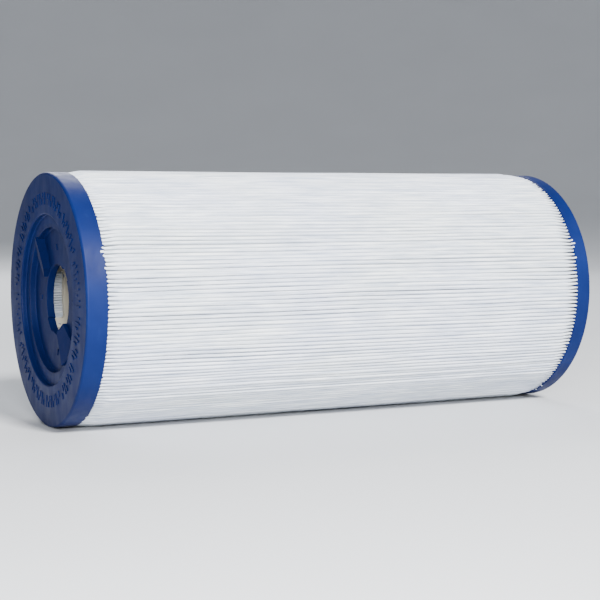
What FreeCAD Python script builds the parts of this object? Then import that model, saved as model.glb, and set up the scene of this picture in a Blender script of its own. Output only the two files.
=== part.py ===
import FreeCAD, Part

import math
import os

# Pleated filter cartridge for a pool or spa, lying on its side.
# Origin: on the bore's axis, halfway between the two end faces. The axis runs along X, with the
# front end, which has the bayonet, towards -X. +Z is up. Units: millimetres.
#
# Every piece is modelled about the Z axis, with the rear face at z = 0 and the front face at
# z = LENGTH, and is laid down at the end. Angles run from the side that ends uppermost, and
# anticlockwise as the front face is seen.

# ---- driving dimensions -------------------------------------------------------------------
CAP_DIAMETER = 125.0        # both end caps, the cartridge's nominal 4-15/16 in size
LENGTH = 283.0              # face to face
FRONT_CAP_HEIGHT = 10.3     # side of the front cap, from its face to the edge the pleats leave
REAR_CAP_HEIGHT = 8.2
BORE_RADIUS = 17.5          # both hubs
PLEATS = 195

# end caps: cast polyurethane rings with a stepped recess
CAP_RADIUS = CAP_DIAMETER / 2
CAP_EDGE_ROUND = 1.2        # outer edge of the face
CAP_LIP_ROUND = 0.35        # outer edge on the pleat side
RECESS_RADIUS = 42.0
RECESS_DEPTH = 2.8          # face to ledge
RECESS_EDGE_ROUND = 0.7
RECESS_CORNER_ROUND = 0.5

# hubs: rigid inserts that plug the core's ends and are held by the cast caps
HUB_RECESS_RADIUS = 35.6
HUB_OUTER_RADIUS = 37.35
HUB_FLOOR_DEPTH = 6.0       # face to hub floor
HUB_FLOOR_THICKNESS = 2.2
HUB_DEPTH = 9.75            # face to the hub's inner end
HUB_WALL_FOOT_RADIUS = 35.3
BOSS_RADIUS = 21.3          # ring around the bore
FLANGE_TOP_DEPTH = 4.2      # flange that rests on the core's end, under the cast ledge
FLOOR_CORNER_ROUND = 0.8
BORE_EDGE_ROUND = 0.4
HUB_EDGE_ROUND = 0.4        # the hub's other inner edges
HUB_RIM_ROUND = 0.3

# bayonet in the front hub: two entry notches and two locking ramps, each pair half a turn apart
NOTCH_RADIUS = 19.0
NOTCH_START, NOTCH_END = 123.0, 152.0       # degrees
RAMP_START, RAMP_END = 34.0, 54.0
RAMP_INNER_RADIUS = BORE_RADIUS + 0.6       # clear of the bore's rounded edge
RAMP_MEAN_HEIGHT = 3.0
RAMP_SLOPE = 0.28                           # fall per millimetre, from start to end
ARROW_RADIUS = 25.9                         # four raised index arrows on the hub floor
ARROW_LENGTH = 3.0
ARROW_WIDTH = 2.2
ARROW_HEIGHT = 0.5

# raised index marks around the front face, plain bars in groups
MARK_SLOTS = 120
MARK_GROUP = 10                             # slots in a group, the last of them empty
MARK_INNER_RADIUS = 46.8
MARK_OUTER_RADIUS = 52.6
MARK_WIDTH = 0.9
MARK_HEIGHT = 0.45
MARK_SINK = 0.3                             # how far a bar's root goes into the face

# core: a windowed tube made of equal moulded sections that plug into each other
CORE_INSET = 5.6            # cartridge face to core end
CORE_SECTIONS = 4
CORE_INNER_RADIUS = 37.4
CORE_OUTER_RADIUS = 40.2
SPIGOT_LENGTH = 3.5
SPIGOT_CLEARANCE = 0.1
WINDOW_ROWS = 5             # per section
WINDOW_HEIGHT = 8.6
WINDOW_WIDTH = 24.0
WINDOW_PITCH = 11.4         # along the axis
WINDOW_CORNER = 1.4
WINDOW_DIRECTIONS = 4       # each direction opens two opposite windows

# pleated sheet
SHEET = 0.45                # thickness
PLEAT_TIP_RADIUS = 62.1     # outermost surface of the folds
PLEAT_ROOT_RADIUS = 40.3    # innermost surface of the folds
OUTER_FOLD = 0.62           # bend radius of the sheet's middle, at the outer folds
INNER_FOLD = 0.335          # the same at the inner folds

# hot-melt strip between the sheet's two free edges
SEAM_INNER_RADIUS = 50.0
SEAM_OUTER_RADIUS = 61.0
SEAM_CLEARANCE = 0.01
SEAM_ANGLE = 128.0          # degrees, on the lower back of the cartridge as it lies

OVERSHOOT = 1.0             # how far a cutting shape runs past what it cuts
AXIS = FreeCAD.Vector(0, 0, 1)
CENTRE = FreeCAD.Vector(0, 0, 0)


# ---- helpers ------------------------------------------------------------------------------
def polar(radius, angle, z=0.0):
    """Point at a radius and an angle in radians from +X towards +Y."""
    return FreeCAD.Vector(radius * math.cos(angle), radius * math.sin(angle), z)


def rounded_wire(corners):
    """Closed wire in the XZ plane through (radius, z, rounding) corners, with tangent arcs."""
    edges = []
    ends = []
    count = len(corners)
    for i in range(count):
        radius, z, rounding = corners[i]
        here = FreeCAD.Vector(radius, 0, z)
        if rounding == 0:
            ends.append((here, here))
            continue
        before = FreeCAD.Vector(corners[i - 1][0], 0, corners[i - 1][1]) - here
        after = FreeCAD.Vector(corners[(i + 1) % count][0], 0, corners[(i + 1) % count][1]) - here
        before.normalize()
        after.normalize()
        half = before.getAngle(after) / 2
        reach = rounding / math.tan(half)
        bisector = before + after
        bisector.normalize()
        middle = here + bisector * (rounding / math.sin(half) - rounding)
        start = here + before * reach
        end = here + after * reach
        edges.append(Part.Arc(start, middle, end).toShape())
        ends.append((start, end))
    for i in range(count):
        start = ends[i][1]
        end = ends[(i + 1) % count][0]
        if start.distanceToPoint(end) > 1e-6:
            edges.append(Part.makeLine(start, end))
    return Part.Wire(Part.__sortEdges__(edges))


def revolved(corners):
    """Solid of revolution about Z from (radius, z, rounding) corners."""
    return Part.Face(rounded_wire(corners)).revolve(CENTRE, AXIS, 360)


def sector(inner, outer, start, end, z, height):
    """Solid between two radii and two angles in degrees, standing on z."""
    a, b = math.radians(start), math.radians(end)
    mid = (a + b) / 2
    edges = [
        Part.makeLine(polar(inner, a, z), polar(outer, a, z)),
        Part.Arc(polar(outer, a, z), polar(outer, mid, z), polar(outer, b, z)).toShape(),
        Part.makeLine(polar(outer, b, z), polar(inner, b, z)),
        Part.Arc(polar(inner, b, z), polar(inner, mid, z), polar(inner, a, z)).toShape(),
    ]
    return Part.Face(Part.Wire(edges)).extrude(AXIS * height)


def turned(shape, degrees):
    """Copy of a shape turned about the cartridge's axis."""
    copy = shape.copy()
    copy.rotate(CENTRE, AXIS, degrees)
    return copy


def to_front(shape):
    """Moves a shape modelled with its face at z = 0 and its body below to the front end."""
    shape.translate(AXIS * LENGTH)
    return shape


def to_rear(shape):
    """Turns the same kind of shape over, so that its face is on z = 0 and its body above."""
    shape.rotate(CENTRE, FreeCAD.Vector(1, 0, 0), 180)
    return shape


def laid_down(shape):
    """Turns a finished piece so that the axis runs along X, and centres the cartridge on X = 0."""
    shape.rotate(CENTRE, FreeCAD.Vector(0, 1, 0), -90)
    shape.translate(FreeCAD.Vector(LENGTH / 2, 0, 0))
    return shape


# ---- pleated sheet ------------------------------------------------------------------------
PITCH = 2 * math.pi / PLEATS
MEDIA_LENGTH = LENGTH - FRONT_CAP_HEIGHT - REAR_CAP_HEIGHT      # the sheet ends at the caps


def outer_centre(k):
    return polar(PLEAT_TIP_RADIUS - OUTER_FOLD - SHEET / 2, k * PITCH)


def inner_centre(k):
    return polar(PLEAT_ROOT_RADIUS + INNER_FOLD + SHEET / 2, (k + 0.5) * PITCH)


def flank_normal(k, rising):
    """Unit normal, towards +angle, of the flat flank beside outer fold k.

    rising is True for the flank between inner fold k - 1 and outer fold k, and False for the
    one between outer fold k and inner fold k."""
    outer = outer_centre(k)
    inner = inner_centre(k - 1) if rising else inner_centre(k)
    span = inner - outer
    tilt = math.acos((OUTER_FOLD + INNER_FOLD) / span.Length)
    side = 1 if rising else -1
    heading = math.atan2(span.y, span.x) + side * tilt
    normal = FreeCAD.Vector(math.cos(heading), math.sin(heading), 0)
    return normal * -1 if rising else normal


def fold_points(k, offset):
    """Ends and middle of the arcs around outer fold k and inner fold k, on the surface that lies
    offset outside the sheet's middle."""
    tip = OUTER_FOLD + offset
    root = INNER_FOLD - offset
    outer, inner = outer_centre(k), inner_centre(k)
    before = outer - flank_normal(k, True) * tip
    crest = outer + polar(tip, k * PITCH)
    after = outer + flank_normal(k, False) * tip
    down = inner - flank_normal(k, False) * root
    trough = inner - polar(root, (k + 0.5) * PITCH)
    up = inner + flank_normal(k + 1, True) * root
    return before, crest, after, down, trough, up


def sheet_side(offset):
    """Edges of one surface of the sheet, from its first free edge, all the way round, to its last.
    The outer fold at angle 0 is left open: the sheet's two ends stand side by side there."""
    edges = []
    for k in range(PLEATS):
        before, crest, after, down, trough, up = fold_points(k, offset)
        if k > 0:
            edges.append(Part.Arc(before, crest, after).toShape())
        edges.append(Part.makeLine(after, down))
        edges.append(Part.Arc(down, trough, up).toShape())
        edges.append(Part.makeLine(up, fold_points((k + 1) % PLEATS, offset)[0]))
    return edges


def pleated_media():
    """One sheet folded into radial pleats, with its two free edges at the seam."""
    outside = sheet_side(SHEET / 2)
    inside = sheet_side(-SHEET / 2)
    first, last = fold_points(0, SHEET / 2), fold_points(0, -SHEET / 2)
    start = Part.makeLine(last[2], first[2])
    end = Part.makeLine(first[0], last[0])
    wire = Part.Wire([start] + outside + [end] + inside[::-1])
    face = Part.Face(wire)
    face.translate(AXIS * REAR_CAP_HEIGHT)
    return face.extrude(AXIS * MEDIA_LENGTH)


def media_seam():
    """Hot-melt strip that fills the space between the sheet's two ends."""
    before, crest, after, down, trough, up = fold_points(0, -SHEET / 2)
    left_foot = fold_points(PLEATS - 1, -SHEET / 2)[5]
    corners = []
    for top, foot, clearance in ((after, down, -SEAM_CLEARANCE), (before, left_foot, SEAM_CLEARANCE)):
        pair = []
        for radius in (SEAM_INNER_RADIUS, SEAM_OUTER_RADIUS):
            share = (top.Length - radius) / (top.Length - foot.Length)
            point = top + (foot - top) * share
            pair.append(point + FreeCAD.Vector(0, clearance, REAR_CAP_HEIGHT))
        corners.append(pair)
    right, left = corners
    outline = Part.makePolygon([right[0], right[1], left[1], left[0], right[0]])
    return Part.Face(outline).extrude(AXIS * MEDIA_LENGTH)


# ---- end caps -----------------------------------------------------------------------------
def cap_ring(height):
    """Cast ring, face at z = 0 and body below."""
    return revolved([
        (HUB_OUTER_RADIUS, -RECESS_DEPTH, 0),
        (RECESS_RADIUS, -RECESS_DEPTH, RECESS_CORNER_ROUND),
        (RECESS_RADIUS, 0, RECESS_EDGE_ROUND),
        (CAP_RADIUS, 0, CAP_EDGE_ROUND),
        (CAP_RADIUS, -height, CAP_LIP_ROUND),
        (CORE_OUTER_RADIUS, -height, 0),
        (CORE_OUTER_RADIUS, -FLANGE_TOP_DEPTH, 0),
        (HUB_OUTER_RADIUS, -FLANGE_TOP_DEPTH, 0),
    ])


def index_marks():
    """Raised plain bars around the face: full length, outer half and inner half in turn."""
    middle = (MARK_INNER_RADIUS + MARK_OUTER_RADIUS) / 2
    spans = (
        (MARK_INNER_RADIUS, MARK_OUTER_RADIUS),
        (middle, MARK_OUTER_RADIUS),
        (MARK_INNER_RADIUS, middle),
    )
    bars = []
    for slot in range(MARK_SLOTS):
        if slot % MARK_GROUP == MARK_GROUP - 1:
            continue
        inner, outer = spans[slot % len(spans)]
        corner = FreeCAD.Vector(inner, -MARK_WIDTH / 2, -MARK_SINK)
        bar = Part.makeBox(outer - inner, MARK_WIDTH, MARK_SINK + MARK_HEIGHT, corner)
        bars.append(turned(bar, slot * 360 / MARK_SLOTS))
    return bars


# ---- hubs ---------------------------------------------------------------------------------
def hub_blank():
    """Dished insert with a flange and a central bore, face plane at z = 0 and body below."""
    return revolved([
        (HUB_RECESS_RADIUS, -RECESS_DEPTH, HUB_RIM_ROUND),
        (HUB_OUTER_RADIUS, -RECESS_DEPTH, 0),
        (HUB_OUTER_RADIUS, -FLANGE_TOP_DEPTH, 0),
        (CORE_OUTER_RADIUS, -FLANGE_TOP_DEPTH, 0),
        (CORE_OUTER_RADIUS, -CORE_INSET, 0),
        (HUB_OUTER_RADIUS, -CORE_INSET, 0),
        (HUB_OUTER_RADIUS, -HUB_DEPTH, HUB_EDGE_ROUND),
        (HUB_WALL_FOOT_RADIUS, -HUB_DEPTH, HUB_EDGE_ROUND),
        (HUB_WALL_FOOT_RADIUS, -HUB_FLOOR_DEPTH - HUB_FLOOR_THICKNESS, 0),
        (BOSS_RADIUS, -HUB_FLOOR_DEPTH - HUB_FLOOR_THICKNESS, 0),
        (BOSS_RADIUS, -HUB_DEPTH, HUB_EDGE_ROUND),
        (BORE_RADIUS, -HUB_DEPTH, BORE_EDGE_ROUND),
        (BORE_RADIUS, -HUB_FLOOR_DEPTH, BORE_EDGE_ROUND),
        (HUB_RECESS_RADIUS, -HUB_FLOOR_DEPTH, FLOOR_CORNER_ROUND),
    ])


def locking_ramp():
    """Wedge on the hub floor, from beside the bore to the recess wall, highest where it starts."""
    root = 1.0              # how far the wedge reaches into the floor, so that the two fuse
    reach = 1.0             # the same into the recess wall
    height = RAMP_MEAN_HEIGHT * 2
    block = sector(RAMP_INNER_RADIUS, HUB_RECESS_RADIUS + reach, RAMP_START, RAMP_END,
                   -HUB_FLOOR_DEPTH - root, height + root)
    size = 2 * HUB_RECESS_RADIUS
    waste = Part.makeBox(size, size, size, FreeCAD.Vector(0, -size / 2, 0))
    waste.rotate(CENTRE, FreeCAD.Vector(1, 0, 0), -math.degrees(math.atan(RAMP_SLOPE)))
    waste.translate(AXIS * (RAMP_MEAN_HEIGHT - HUB_FLOOR_DEPTH))
    return block.cut(turned(waste, (RAMP_START + RAMP_END) / 2))


def index_arrow():
    """Small raised triangle on the hub floor, pointing outwards."""
    z = -HUB_FLOOR_DEPTH - MARK_SINK
    base = ARROW_RADIUS - ARROW_LENGTH / 2
    outline = Part.makePolygon([
        FreeCAD.Vector(base, -ARROW_WIDTH / 2, z),
        FreeCAD.Vector(base + ARROW_LENGTH, 0, z),
        FreeCAD.Vector(base, ARROW_WIDTH / 2, z),
        FreeCAD.Vector(base, -ARROW_WIDTH / 2, z),
    ])
    return Part.Face(outline).extrude(AXIS * (MARK_SINK + ARROW_HEIGHT))


def bayonet_hub():
    """Hub blank with the bayonet's notches and ramps, and four index arrows."""
    ramp = locking_ramp()
    notch = sector(BORE_RADIUS - OVERSHOOT, NOTCH_RADIUS, NOTCH_START, NOTCH_END,
                   -HUB_DEPTH - OVERSHOOT, HUB_DEPTH - HUB_FLOOR_DEPTH + 2 * OVERSHOOT)
    arrow = index_arrow()
    additions = [ramp, turned(ramp, 180)] + [turned(arrow, 90 * i) for i in range(4)]
    hub = hub_blank().fuse(additions)
    return hub.cut([notch, turned(notch, 180)]).removeSplitter()


# ---- core ---------------------------------------------------------------------------------
SECTION_LENGTH = (LENGTH - 2 * CORE_INSET) / CORE_SECTIONS
JOINT_RADIUS = (CORE_INNER_RADIUS + CORE_OUTER_RADIUS) / 2


def window_cutters(base):
    """Round-cornered bars that open every window of the section standing on z = base."""
    stack = (WINDOW_ROWS - 1) * WINDOW_PITCH + WINDOW_HEIGHT
    first = base + (SECTION_LENGTH - stack) / 2
    reach = 2 * (CORE_OUTER_RADIUS + OVERSHOOT)
    bar = Part.makeBox(reach, WINDOW_WIDTH, WINDOW_HEIGHT,
                       FreeCAD.Vector(-reach / 2, -WINDOW_WIDTH / 2, 0))
    long_edges = [e for e in bar.Edges if abs(e.Length - reach) < 1e-6]
    bar = bar.makeFillet(WINDOW_CORNER, long_edges)
    cutters = []
    for row in range(WINDOW_ROWS):
        for direction in range(WINDOW_DIRECTIONS):
            cutter = turned(bar, direction * 180 / WINDOW_DIRECTIONS)
            cutter.translate(AXIS * (first + row * WINDOW_PITCH))
            cutters.append(cutter)
    return cutters


def core_section(index):
    """Section number index, counted from the rear. A spigot under it enters the section below,
    and a socket in its top takes the one above; the core's two outer ends are plain."""
    base = CORE_INSET + index * SECTION_LENGTH
    tube = Part.makeCylinder(CORE_OUTER_RADIUS, SECTION_LENGTH, AXIS * base)
    if index > 0:
        spigot = Part.makeCylinder(JOINT_RADIUS - SPIGOT_CLEARANCE / 2, SPIGOT_LENGTH,
                                   AXIS * (base - SPIGOT_LENGTH))
        tube = tube.fuse(spigot)
    hollow = Part.makeCylinder(CORE_INNER_RADIUS, SECTION_LENGTH + 2 * SPIGOT_LENGTH,
                               AXIS * (base - SPIGOT_LENGTH))
    cutters = [hollow] + window_cutters(base)
    if index < CORE_SECTIONS - 1:
        depth = SPIGOT_LENGTH + SPIGOT_CLEARANCE
        cutters.append(Part.makeCylinder(JOINT_RADIUS + SPIGOT_CLEARANCE / 2, depth + OVERSHOOT,
                                         AXIS * (base + SECTION_LENGTH - depth)))
    return tube.cut(cutters)


# ---- assembly -----------------------------------------------------------------------------
def build():
    nodes = {
        "pleated_media": turned(pleated_media(), SEAM_ANGLE),
        "media_seam": turned(media_seam(), SEAM_ANGLE),
        "front_end_cap": to_front(cap_ring(FRONT_CAP_HEIGHT).fuse(index_marks())),
        "rear_end_cap": to_rear(cap_ring(REAR_CAP_HEIGHT)),
        "front_bayonet_hub": to_front(bayonet_hub()),
        "rear_hub": to_rear(hub_blank()),
    }
    for index in range(CORE_SECTIONS):
        nodes["core_section_%d" % (index + 1)] = core_section(index)
    return nodes


def main():
    os.makedirs("parts", exist_ok=True)
    for name, shape in build().items():
        laid_down(shape).exportStep(os.path.join("parts", name + ".step"))
        print(name, "solids", len(shape.Solids), "valid", shape.isValid(),
              "volume_cm3", round(shape.Volume / 1000, 2))


main()
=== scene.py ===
import math

import bpy
import numpy as np
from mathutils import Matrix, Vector


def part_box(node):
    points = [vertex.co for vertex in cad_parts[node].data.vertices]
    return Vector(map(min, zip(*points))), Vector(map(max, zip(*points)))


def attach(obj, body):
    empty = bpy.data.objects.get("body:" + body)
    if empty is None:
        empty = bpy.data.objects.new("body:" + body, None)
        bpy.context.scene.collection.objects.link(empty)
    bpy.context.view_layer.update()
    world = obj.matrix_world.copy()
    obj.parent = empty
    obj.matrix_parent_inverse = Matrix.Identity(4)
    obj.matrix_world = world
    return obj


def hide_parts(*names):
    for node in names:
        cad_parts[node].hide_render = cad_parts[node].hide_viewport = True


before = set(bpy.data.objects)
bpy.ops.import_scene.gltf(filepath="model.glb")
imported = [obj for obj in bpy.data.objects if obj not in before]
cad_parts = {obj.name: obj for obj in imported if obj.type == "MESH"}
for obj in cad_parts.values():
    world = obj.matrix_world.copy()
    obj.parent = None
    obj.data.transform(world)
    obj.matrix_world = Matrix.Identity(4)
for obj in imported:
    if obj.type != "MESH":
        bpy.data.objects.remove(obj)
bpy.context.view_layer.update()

# Looks for a pleated filter cartridge that lies on its side, with its axis along X.
# Units: metres. Random shapes come from one seeded generator, drawn in a fixed order.
SEED = 41
MM = 0.001

# ---- places read from the frame -----------------------------------------------------------
FRONT_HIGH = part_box("front_end_cap")[1]
REAR_LOW, REAR_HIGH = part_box("rear_end_cap")
CAP_RADIUS = FRONT_HIGH.z
FRONT_LIP, REAR_LIP = FRONT_HIGH.x, REAR_LOW.x
HIDDEN_END = 3.2 * MM               # how far the sheet carries on inside each cap
SHEET_START, SHEET_END = FRONT_LIP - HIDDEN_END, REAR_LIP + HIDDEN_END
CREST_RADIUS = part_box("pleated_media")[1].z
CORE_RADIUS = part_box("core_section_2")[1].z

# ---- pleated sheet ------------------------------------------------------------------------
PLEATS = 195
SEAM_ANGLE = math.radians(128)      # where the sheet's two ends meet, from +Z towards +Y
SHEET = 0.42 * MM
CREST_HALF_WIDTH = 0.72 * MM
CREST_POINTS = (-80, -40, 0, 40, 80)            # degrees round a crest
FLANK_RADIUS = 51 * MM              # halfway down a fold's flat side
FLANK_HALF_WIDTH = 0.46 * MM        # of a fold there, from its middle to each flat side
TROUGH_HALF_WIDTH = 0.32 * MM       # of an inner fold, which is square
TROUGH_GAP = 0.25 * MM              # from the core to the middle of the sheet at an inner fold
UNEVEN_SPACING = 0.03               # of the pitch, from one fold to the next
CREST_WIDTHS = (0.86, 1.1)          # narrowest and widest crest, as shares of the usual width
PINCH_SHARES = (0.75, 1.15)         # the same for how far a crest pinches
PINCHED_HALF_WIDTH = 0.30 * MM      # of a crest where it enters a cap
BULGE = 0.7 * MM                    # outward bow of the crests between the caps
PINCH_LENGTH = 9 * MM
FRONT_PINCH = 0.35                  # share of the full pinch; the front crests enter almost whole
PINCH_DEPTH = 0.35 * MM             # how much lower a crest is where it enters a cap
NEIGHBOUR_SWAY = 0.38 * MM          # sideways wander that nearby pleats share
OWN_SWAY = 0.07 * MM
RADIAL_WANDER = 0.20 * MM
STEADY_LIFT = 0.13 * MM             # height difference that a fold keeps along its whole length
POKE = 0.06 * MM                    # how far a stray crest stands proud of the cap's side
POKE_LENGTHS = (0.2 * MM, 1.6 * MM)            # shortest and longest stray crest
POKING_SHARE = 0.05                 # of the crests, all round
POKING_PEAK = 0.9                   # extra share in one worn patch
POKING_ANGLE, POKING_SPREAD = math.radians(-67), math.radians(7)
SHINE_THROUGH = 0.07                # share of light that the thin sheet lets through
GROOVE_DEPTH = 1.3 * MM             # below the crests, over which painted shade darkens the sheet towards the groove's bottom
PAINTED_SHADE_START = 5 * MM                 # outside the core, where the painted shade in the grooves starts; the inner folds get none
ROWS_AT_END = 14
ROWS_BETWEEN = 46

# ---- resin drawn along the grooves --------------------------------------------------------
FRONT_WICK, REAR_WICK = 1.3 * MM, 2.6 * MM      # longest tongue at each end
WICK_SHORTEST = 0.2 * MM
WICK_DEPTH = 3.0 * MM
WICK_ROOT = 0.6 * MM                # how far a tongue starts inside the cap
WICK_SUNK = 0.25 * MM               # below the cap's side
WICK_HALF = 0.36                    # half width at the root, as a share of the pitch
WICK_BEND = 0.12                    # of the pitch, sideways at the tip
WICK_TIP_SUNK = 0.9 * MM            # of the tip, below the tongue's root
WICK_WAIST = 0.45                   # of the length, where a tongue starts to narrow
WICK_WAIST_WIDTH = 0.8              # of the root's width
WICK_WAIST_SUNK = 0.15 * MM
WICK_INNER_WIDTH = 0.7              # of the root's width, at the bottom of the groove

# ---- camera and light ---------------------------------------------------------------------
LENGTH = REAR_HIGH.x * 2
# the camera stands beside the front end, a little above the axis, and looks slightly down
CAMERA_AT = Vector((-1.268 * LENGTH, -2.4998 * LENGTH, 0.1795 * LENGTH))
CAMERA_HEADING = math.radians(26.77)
CAMERA_FALL = math.radians(3.98)
LENS_MM, SENSOR_MM = 89.6, 36
BOWL_FLOOR, BOWL_BEND = 1.6, 2.4    # radius of the flat floor, and of the curve around it
BOWL_HOLE = 0.01                    # radius of the middle disc
BOWL_TURNS, BOWL_STEPS = 96, 16
FLOOR_GAP = 0.05 * MM               # under the cartridge
SKY_COLOUR, SKY_STRENGTH = (0.74, 0.82, 0.95, 1), 0.27

# ---- colours ------------------------------------------------------------------------------
FIBRE_SHADE, FIBRE_WHITE = (0.60, 0.65, 0.74, 1), (0.92, 0.95, 0.98, 1)
COOL_TINT, WARM_TINT = (0.955, 0.96, 1.0, 1), (1.0, 1.0, 0.965, 1)
STREAK_SHADE = (0.76, 0.79, 0.84, 1)
# painted shade, for the bottom of the grooves between the crests
GROOVE_PAINTED_SHADE = (0.13, 0.15, 0.20, 1)
SHEET_GLOW = (0.91, 0.92, 0.90, 1)
CAP_BLUES = (0.0019, 0.0085, 0.066, 1), (0.0034, 0.0132, 0.087, 1)
HUB_BLUES = (0.0017, 0.0075, 0.058, 1), (0.003, 0.0112, 0.074, 1)
SCUFF_BLUE = (0.02, 0.045, 0.16, 1)
CORE_BEIGES = (0.72, 0.66, 0.52, 1), (0.85, 0.80, 0.68, 1)
RESIN_SPECK = (0.05, 0.11, 0.32, 1)
GLUE_CREAMS = (0.66, 0.60, 0.44, 1), (0.80, 0.76, 0.62, 1)
PAPERS = (0.60, 0.615, 0.64, 1), (0.62, 0.635, 0.66, 1)

rng = np.random.default_rng(SEED)


# ---- helpers ------------------------------------------------------------------------------
def smooth(t):
    """Eases 0..1 in and out."""
    t = np.clip(t, 0, 1)
    return t * t * (3 - 2 * t)


def around(values, reach):
    """Averages a ring of values over neighbours, and brings its spread back to one."""
    kernel = np.hanning(2 * reach + 3)
    wrapped = np.concatenate([values[-reach - 1:], values, values[:reach + 1]])
    soft = np.convolve(wrapped, kernel, "valid")[:len(values)]
    return soft / soft.std()


def slow_wave(count, x, cycles, soften):
    """count rows of gentle noise along x; neighbouring rows agree when soften is above 0."""
    total = np.zeros((count, len(x)))
    span = SHEET_END - SHEET_START
    for number in cycles:
        a, b = rng.normal(size=count), rng.normal(size=count)
        if soften:
            a, b = around(a, soften), around(b, soften)
        turn = 2 * math.pi * number * (x - SHEET_START) / span
        total += (np.outer(a, np.cos(turn)) + np.outer(b, np.sin(turn))) / number
    return total / total.std()


def new_mesh(name, points, faces, material):
    """Smooth-shaded mesh object in the row frame, with one material."""
    mesh = bpy.data.meshes.new(name)
    mesh.from_pydata([tuple(p) for p in points], [], faces)
    mesh.validate()
    mesh.polygons.foreach_set("use_smooth", [True] * len(mesh.polygons))
    mesh.materials.append(material)
    obj = bpy.data.objects.new(name, mesh)
    bpy.context.scene.collection.objects.link(obj)
    return obj


def place(x, radius, angle):
    """Points from the distance along the axis, the radius and the angle from +Z towards +Y."""
    return np.stack([x, radius * np.sin(angle), radius * np.cos(angle)], axis=-1)


# ---- materials ----------------------------------------------------------------------------
class Nodes:
    """Short way to write a material's node tree."""

    def __init__(self, name):
        self.material = bpy.data.materials.new(name)
        self.material.use_nodes = True
        self.tree = self.material.node_tree
        self.shader = self.tree.nodes["Principled BSDF"]
        self.where = self.tree.nodes.new("ShaderNodeTexCoord").outputs["Object"]

    def set(self, **values):
        """Sets the shader's inputs by name, with _ for a space."""
        for name, value in values.items():
            self.shader.inputs[name.replace("_", " ")].default_value = value

    def link(self, out, socket):
        self.tree.links.new(out, socket)

    def noise(self, scale, detail, stretch=(1, 1, 1)):
        """Noise of scale features per metre, drawn out where stretch is under 1."""
        mapping = self.tree.nodes.new("ShaderNodeMapping")
        mapping.inputs["Scale"].default_value = stretch
        self.link(self.where, mapping.inputs["Vector"])
        node = self.tree.nodes.new("ShaderNodeTexNoise")
        node.inputs["Scale"].default_value = scale
        node.inputs["Detail"].default_value = detail
        self.link(mapping.outputs[0], node.inputs["Vector"])
        return node.outputs["Fac"]

    def from_axis(self, low, high):
        """0 to 1 between two distances from the cartridge's axis."""
        mapping = self.tree.nodes.new("ShaderNodeMapping")
        mapping.inputs["Scale"].default_value = (0, 1, 1)
        self.link(self.where, mapping.inputs["Vector"])
        length = self.tree.nodes.new("ShaderNodeVectorMath")
        length.operation = "LENGTH"
        self.link(mapping.outputs[0], length.inputs[0])
        share = self.tree.nodes.new("ShaderNodeMapRange")
        share.inputs["From Min"].default_value = low
        share.inputs["From Max"].default_value = high
        self.link(length.outputs["Value"], share.inputs["Value"])
        return share.outputs[0]

    def ramp(self, value, low, high, dark, light):
        """Colour from dark to light as value goes from low to high."""
        node = self.tree.nodes.new("ShaderNodeValToRGB")
        node.color_ramp.elements[0].position = low
        node.color_ramp.elements[0].color = dark
        node.color_ramp.elements[1].position = high
        node.color_ramp.elements[1].color = light
        self.link(value, node.inputs["Fac"])
        return node.outputs["Color"]

    def mix(self, share, one, two, mode="MIX"):
        """Mixes two colours; each argument is a value or a socket."""
        node = self.tree.nodes.new("ShaderNodeMix")
        node.data_type = "RGBA"
        node.blend_type = mode
        # of this node's sockets, inputs 0, 6 and 7 and output 2 are the ones for colours
        for value, index in ((share, 0), (one, 6), (two, 7)):
            if hasattr(value, "is_linked"):
                self.link(value, node.inputs[index])
            else:
                node.inputs[index].default_value = value
        return node.outputs[2]

    def multiply(self, one, two):
        return self.mix(1.0, one, two, "MULTIPLY")

    def bump(self, height, distance, strength):
        node = self.tree.nodes.new("ShaderNodeBump")
        node.inputs["Distance"].default_value = distance
        node.inputs["Strength"].default_value = strength
        self.link(height, node.inputs["Height"])
        self.link(node.outputs[0], self.shader.inputs["Normal"])


def grey(value):
    return (value, value, value, 1)


def sheet_material():
    """Spun-bonded polyester: near white, with fibres that run mostly along the pleats, and painted
    shade in the grooves between the crests.
    """
    n = Nodes("media_felt")
    fibres = n.noise(scale=1500, detail=6, stretch=(0.02, 1, 1))
    patches = n.noise(scale=26, detail=2, stretch=(0.5, 1, 1))
    bundles = n.noise(scale=700, detail=2, stretch=(0.1, 1, 1))
    white = n.ramp(fibres, low=0.38, high=0.62, dark=FIBRE_SHADE, light=FIBRE_WHITE)
    tint = n.ramp(patches, low=0.35, high=0.65, dark=COOL_TINT, light=WARM_TINT)
    streaks = n.ramp(bundles, low=0.35, high=0.65, dark=STREAK_SHADE, light=grey(1))
    unshaded = n.multiply(n.multiply(white, tint), streaks)
    # painted shade: the colour darkens towards the bottom of each groove between crests, only outside
    # the core
    depth = n.from_axis(CREST_RADIUS - GROOVE_DEPTH, CREST_RADIUS)
    groove = n.ramp(depth, low=0, high=1, dark=GROOVE_PAINTED_SHADE, light=grey(1))
    outside = n.from_axis(CORE_RADIUS + PAINTED_SHADE_START, CORE_RADIUS + 2 * PAINTED_SHADE_START)
    groove = n.mix(outside, grey(1), groove)
    n.link(n.multiply(unshaded, groove), n.shader.inputs["Base Color"])
    n.bump(fibres, distance=0.12 * MM, strength=0.55)
    n.set(Roughness=0.88, Sheen_Weight=0.25, Sheen_Roughness=0.6, Specular_IOR_Level=0.2)
    glow = n.tree.nodes.new("ShaderNodeBsdfTranslucent")
    glow.inputs["Color"].default_value = SHEET_GLOW
    both = n.tree.nodes.new("ShaderNodeMixShader")
    both.inputs[0].default_value = SHINE_THROUGH
    n.link(n.shader.outputs[0], both.inputs[1])
    n.link(glow.outputs[0], both.inputs[2])
    n.link(both.outputs[0], n.tree.nodes["Material Output"].inputs["Surface"])
    return n.material


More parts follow.
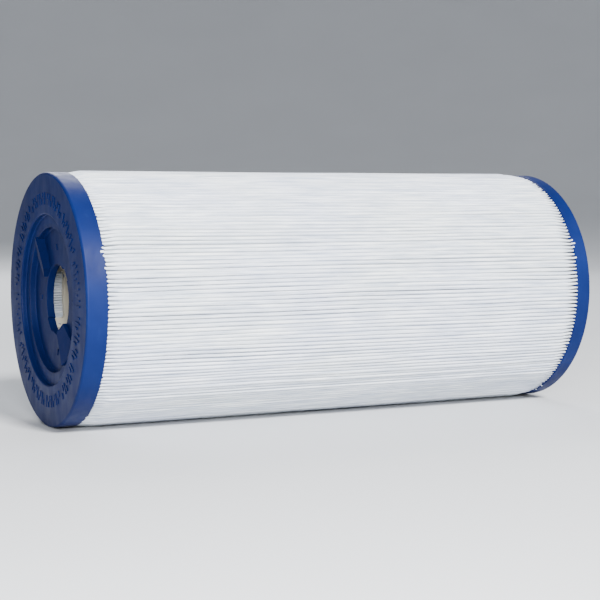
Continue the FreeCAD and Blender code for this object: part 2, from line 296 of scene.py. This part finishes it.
def resin_material(name, blues):
    """Cast or moulded blue plastic with slight clouding, fine grain and worn patches."""
    n = Nodes(name)
    clouds = n.noise(scale=42, detail=4)
    grain = n.noise(scale=1500, detail=2)
    wear = n.noise(scale=160, detail=6, stretch=(1, 1, 0.5))
    blue = n.ramp(clouds, low=0.3, high=0.7, dark=blues[0], light=blues[1])
    scuffed = n.ramp(wear, low=0.66, high=0.8, dark=grey(0), light=grey(0.16))
    dull = n.ramp(wear, low=0.3, high=0.75, dark=grey(0.4), light=grey(0.6))
    n.link(n.mix(scuffed, blue, SCUFF_BLUE), n.shader.inputs["Base Color"])
    n.link(dull, n.shader.inputs["Roughness"])
    n.bump(grain, distance=0.05 * MM, strength=0.35)
    n.set(Specular_IOR_Level=0.12)
    return n.material


def core_material():
    """Pale beige moulded plastic with a few specks of blue resin."""
    n = Nodes("core_plastic")
    clouds = n.noise(scale=35, detail=3)
    specks = n.noise(scale=420, detail=1)
    flow_lines = n.noise(scale=700, detail=3, stretch=(0.3, 1, 1))
    beige = n.ramp(clouds, low=0.3, high=0.7, dark=CORE_BEIGES[0], light=CORE_BEIGES[1])
    mask = n.ramp(specks, low=0.76, high=0.79, dark=grey(0), light=grey(1))
    n.link(n.mix(mask, beige, RESIN_SPECK), n.shader.inputs["Base Color"])
    n.bump(flow_lines, distance=0.08 * MM, strength=0.3)
    n.set(Roughness=0.5)
    return n.material


def hot_melt_material():
    """Waxy cream glue."""
    n = Nodes("hot_melt")
    clouds = n.noise(scale=300, detail=3)
    cream = n.ramp(clouds, low=0.3, high=0.7, dark=GLUE_CREAMS[0], light=GLUE_CREAMS[1])
    n.link(cream, n.shader.inputs["Base Color"])
    n.bump(clouds, distance=0.2 * MM, strength=0.5)
    n.set(Roughness=0.35, Subsurface_Weight=0.2, Subsurface_Scale=1.0 * MM)
    return n.material


def floor_material():
    """Plain pale paper."""
    n = Nodes("floor_paper")
    clouds = n.noise(scale=6, detail=2)
    paper = n.ramp(clouds, low=0.3, high=0.7, dark=PAPERS[0], light=PAPERS[1])
    n.link(paper, n.shader.inputs["Base Color"])
    n.set(Roughness=0.9)
    return n.material


# ---- pleated sheet ------------------------------------------------------------------------
def sheet_rows():
    """Places along the axis for the sheet's rows of points, close together near the caps."""
    front = np.linspace(SHEET_START, FRONT_LIP + PINCH_LENGTH, ROWS_AT_END)
    rear = np.linspace(REAR_LIP - PINCH_LENGTH, SHEET_END, ROWS_AT_END)
    between = np.linspace(front[-1], rear[0], ROWS_BETWEEN + 2)[1:-1]
    return np.concatenate([front, between, rear])


def near_caps(x):
    """Closeness to the front and to the rear cap: 0 away from it and 1 where crests enter it."""
    return 1 - smooth((x - FRONT_LIP) / PINCH_LENGTH), 1 - smooth((REAR_LIP - x) / PINCH_LENGTH)


def straight_strip(x, radius, angle):
    """Points along a line parallel to the axis."""
    return place(x, np.full(len(x), radius), np.full(len(x), angle))


def pleated_sheet(material):
    """The sheet, fold by fold, with wandering crests that pinch where they enter the caps."""
    x = sheet_rows()
    front, rear = near_caps(x)
    pinch = front * FRONT_PINCH + rear
    free = 1 - front - rear
    in_cap = (x < FRONT_LIP) | (x > REAR_LIP)
    pitch = 2 * math.pi / PLEATS
    centre = SEAM_ANGLE + (np.arange(PLEATS) + rng.normal(size=PLEATS) * UNEVEN_SPACING) * pitch
    sway = slow_wave(PLEATS, x, cycles=(1, 2, 3), soften=4) * NEIGHBOUR_SWAY / 2
    sway += slow_wave(PLEATS, x, cycles=(1, 2, 4), soften=0) * OWN_SWAY / 2
    lift = slow_wave(PLEATS, x, cycles=(1, 2, 3), soften=1) * RADIAL_WANDER / 2
    lift += (rng.normal(size=PLEATS) * STEADY_LIFT)[:, None]
    apart = (centre - POKING_ANGLE + math.pi) % (2 * math.pi) - math.pi
    share = POKING_SHARE + POKING_PEAK * np.exp(-(apart / POKING_SPREAD) ** 2)
    poke = rng.random(PLEATS) < share
    reach = rng.uniform(*POKE_LENGTHS, PLEATS)
    points, rows = [], len(x)
    for k in range(PLEATS):
        own_pinch = np.clip(pinch * rng.uniform(*PINCH_SHARES), 0, 1)
        full = CREST_HALF_WIDTH * rng.uniform(*CREST_WIDTHS)
        half = full + (PINCHED_HALF_WIDTH - full) * own_pinch
        top = CREST_RADIUS + BULGE * free + lift[k] * free - PINCH_DEPTH * own_pinch
        if poke[k]:
            shown = in_cap & (x > FRONT_LIP - reach[k]) & (x < REAR_LIP + reach[k])
            top = np.where(shown, CAP_RADIUS + POKE, top)
        down = -math.cos(centre[k])
        if down > 0:                    # folds underneath are pressed flat by the floor
            top = np.minimum(top, (CAP_RADIUS - SHEET / 2) / down)
        middle = centre[k] + sway[k] * free / CREST_RADIUS
        points.append(straight_strip(x, FLANK_RADIUS, centre[k] - FLANK_HALF_WIDTH / FLANK_RADIUS))
        for degrees in CREST_POINTS:
            turn = math.radians(degrees)
            level = top - half * (1 - math.cos(turn))
            points.append(place(x, level, middle + half * math.sin(turn) / level))
        points.append(straight_strip(x, FLANK_RADIUS, centre[k] + FLANK_HALF_WIDTH / FLANK_RADIUS))
        for side in (-1, 1):
            turn = SEAM_ANGLE + (k + 0.5) * pitch + side * TROUGH_HALF_WIDTH / CORE_RADIUS
            points.append(straight_strip(x, CORE_RADIUS + TROUGH_GAP, turn))
    strips = np.array(points)
    # the sheet's two ends meet at fold 0, so it starts past that fold's crest and ends before it
    strips = strips[list(range(len(CREST_POINTS), len(strips))) + [0, 1]]
    faces = []
    for s in range(len(strips) - 1):
        for row in range(rows - 1):
            a = s * rows + row
            faces.append((a, a + 1, a + rows + 1, a + rows))
    sheet = new_mesh("pleated_sheet", strips.reshape(-1, 3), faces, material)
    thick = sheet.modifiers.new("thickness", "SOLIDIFY")
    thick.thickness = SHEET
    thick.offset = 0
    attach(sheet, "root")
    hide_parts("pleated_media")


# ---- resin between the crests -------------------------------------------------------------
# corners of a tongue: 0 to 3 root, 4 and 5 waist, 6 tip, 7 under the waist at the lip
WICK_FACES = ((0, 1, 5, 4), (4, 5, 6), (1, 2, 7, 5), (5, 7, 6), (2, 3, 7), (3, 0, 4, 7), (4, 6, 7),
              (3, 2, 1, 0))


def wicked_resin(name, lip, direction, longest, material):
    """Tongues of resin, drawn different distances along the grooves from a cap's lip."""
    points, faces = [], []
    pitch = 2 * math.pi / PLEATS
    root = lip - direction * WICK_ROOT
    for k in range(PLEATS):
        middle = SEAM_ANGLE + (k + 0.5) * pitch
        length = rng.uniform(0, 1) ** 2 * (longest - WICK_SHORTEST) + WICK_SHORTEST
        half = WICK_HALF * pitch
        outer = CAP_RADIUS - WICK_SUNK
        tip = lip + direction * length
        inner = outer - WICK_DEPTH
        bend = rng.uniform(-WICK_BEND, WICK_BEND) * pitch
        waist = lip + direction * length * WICK_WAIST
        top = outer - WICK_WAIST_SUNK
        foot_half = half * WICK_INNER_WIDTH
        waist_half = half * WICK_WAIST_WIDTH
        shape = ((root, outer, -half), (root, outer, half), (root, inner, foot_half),
                 (root, inner, -foot_half), (waist, top, -waist_half), (waist, top, waist_half),
                 (tip, outer - WICK_TIP_SUNK, bend), (lip, inner, 0))
        base = len(points)
        for px, radius, turn in shape:
            points.append(place(px, radius, middle + turn))
        for face in WICK_FACES:
            outward = face if direction < 0 else face[::-1]
            faces.append(tuple(base + i for i in outward))
    resin = new_mesh(name, points, faces, material)
    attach(resin, "root")


# ---- set ----------------------------------------------------------------------------------
def lamp(name, at, size, power, tint):
    """Soft square lamp that faces the middle of the cartridge."""
    data = bpy.data.lights.new(name, "AREA")
    data.size = size
    data.energy = power
    data.color = tint
    obj = bpy.data.objects.new(name, data)
    obj.location = at
    obj.rotation_euler = Vector(at).to_track_quat("Z", "Y").to_euler()
    bpy.context.scene.collection.objects.link(obj)


def bowl():
    """Pale floor whose edge curves up all round, so that no horizon shows from any side."""
    z = -CAP_RADIUS - FLOOR_GAP
    profile = [(BOWL_HOLE, z), (BOWL_FLOOR, z)]
    for step in range(1, BOWL_STEPS + 1):
        bend = math.pi / 2 * step / BOWL_STEPS
        profile.append((BOWL_FLOOR + BOWL_BEND * math.sin(bend), z + BOWL_BEND * (1 - math.cos(bend))))
    points, faces = [], []
    for radius, level in profile:
        for turn in range(BOWL_TURNS):
            angle = 2 * math.pi * turn / BOWL_TURNS
            points.append((radius * math.cos(angle), radius * math.sin(angle), level))
    for ring in range(len(profile) - 1):
        a, b = ring * BOWL_TURNS, (ring + 1) * BOWL_TURNS
        for turn in range(BOWL_TURNS):
            after = (turn + 1) % BOWL_TURNS
            faces.append((a + turn, a + after, b + after, b + turn))
    faces.append(tuple(range(BOWL_TURNS)))
    return new_mesh("floor", points, faces, floor_material())


def studio():
    """Pale floor, soft lamps all round and the main camera."""
    bowl()
    above_camera = CAMERA_AT + Vector((0.02, -0.02, 0.12))
    lamp("key", at=(0.05, -1.35, 0.95), size=0.24, power=76, tint=(1, 0.995, 0.98))
    lamp("beside_camera", at=above_camera, size=0.14, power=7, tint=(1, 1, 1))
    lamp("front_fill", at=(-1.2, 0.1, 0.5), size=0.9, power=0.7, tint=(0.94, 0.97, 1))
    lamp("back_fill", at=(0.35, 1.3, 0.9), size=1.0, power=24, tint=(0.98, 0.99, 1))
    world = bpy.data.worlds.new("studio")
    world.use_nodes = True
    sky = world.node_tree.nodes["Background"]
    sky.inputs["Color"].default_value = SKY_COLOUR
    sky.inputs["Strength"].default_value = SKY_STRENGTH
    bpy.context.scene.world = world
    camera = bpy.data.cameras.new("camera")
    camera.lens = LENS_MM
    camera.sensor_width = SENSOR_MM
    holder = bpy.data.objects.new("camera", camera)
    holder.location = CAMERA_AT
    holder.rotation_euler = (math.pi / 2 - CAMERA_FALL, 0, -CAMERA_HEADING)
    bpy.context.scene.collection.objects.link(holder)
    bpy.context.scene.camera = holder


def paint(node, material):
    """Gives a node that came with the frame its finish."""
    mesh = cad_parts[node].data
    mesh.materials.clear()
    mesh.materials.append(material)


# ---- the cartridge ------------------------------------------------------------------------
cap_blue = resin_material("cap_resin", CAP_BLUES)
hub_blue = resin_material("hub_plastic", HUB_BLUES)
pale = core_material()
paint("front_end_cap", cap_blue)
paint("rear_end_cap", cap_blue)
paint("front_bayonet_hub", hub_blue)
paint("rear_hub", hub_blue)
paint("media_seam", hot_melt_material())
for number in range(1, 5):
    paint("core_section_%d" % number, pale)

pleated_sheet(sheet_material())
wicked_resin("front_wicked_resin", FRONT_LIP, 1, FRONT_WICK, cap_blue)
wicked_resin("rear_wicked_resin", REAR_LIP, -1, REAR_WICK, cap_blue)
studio()
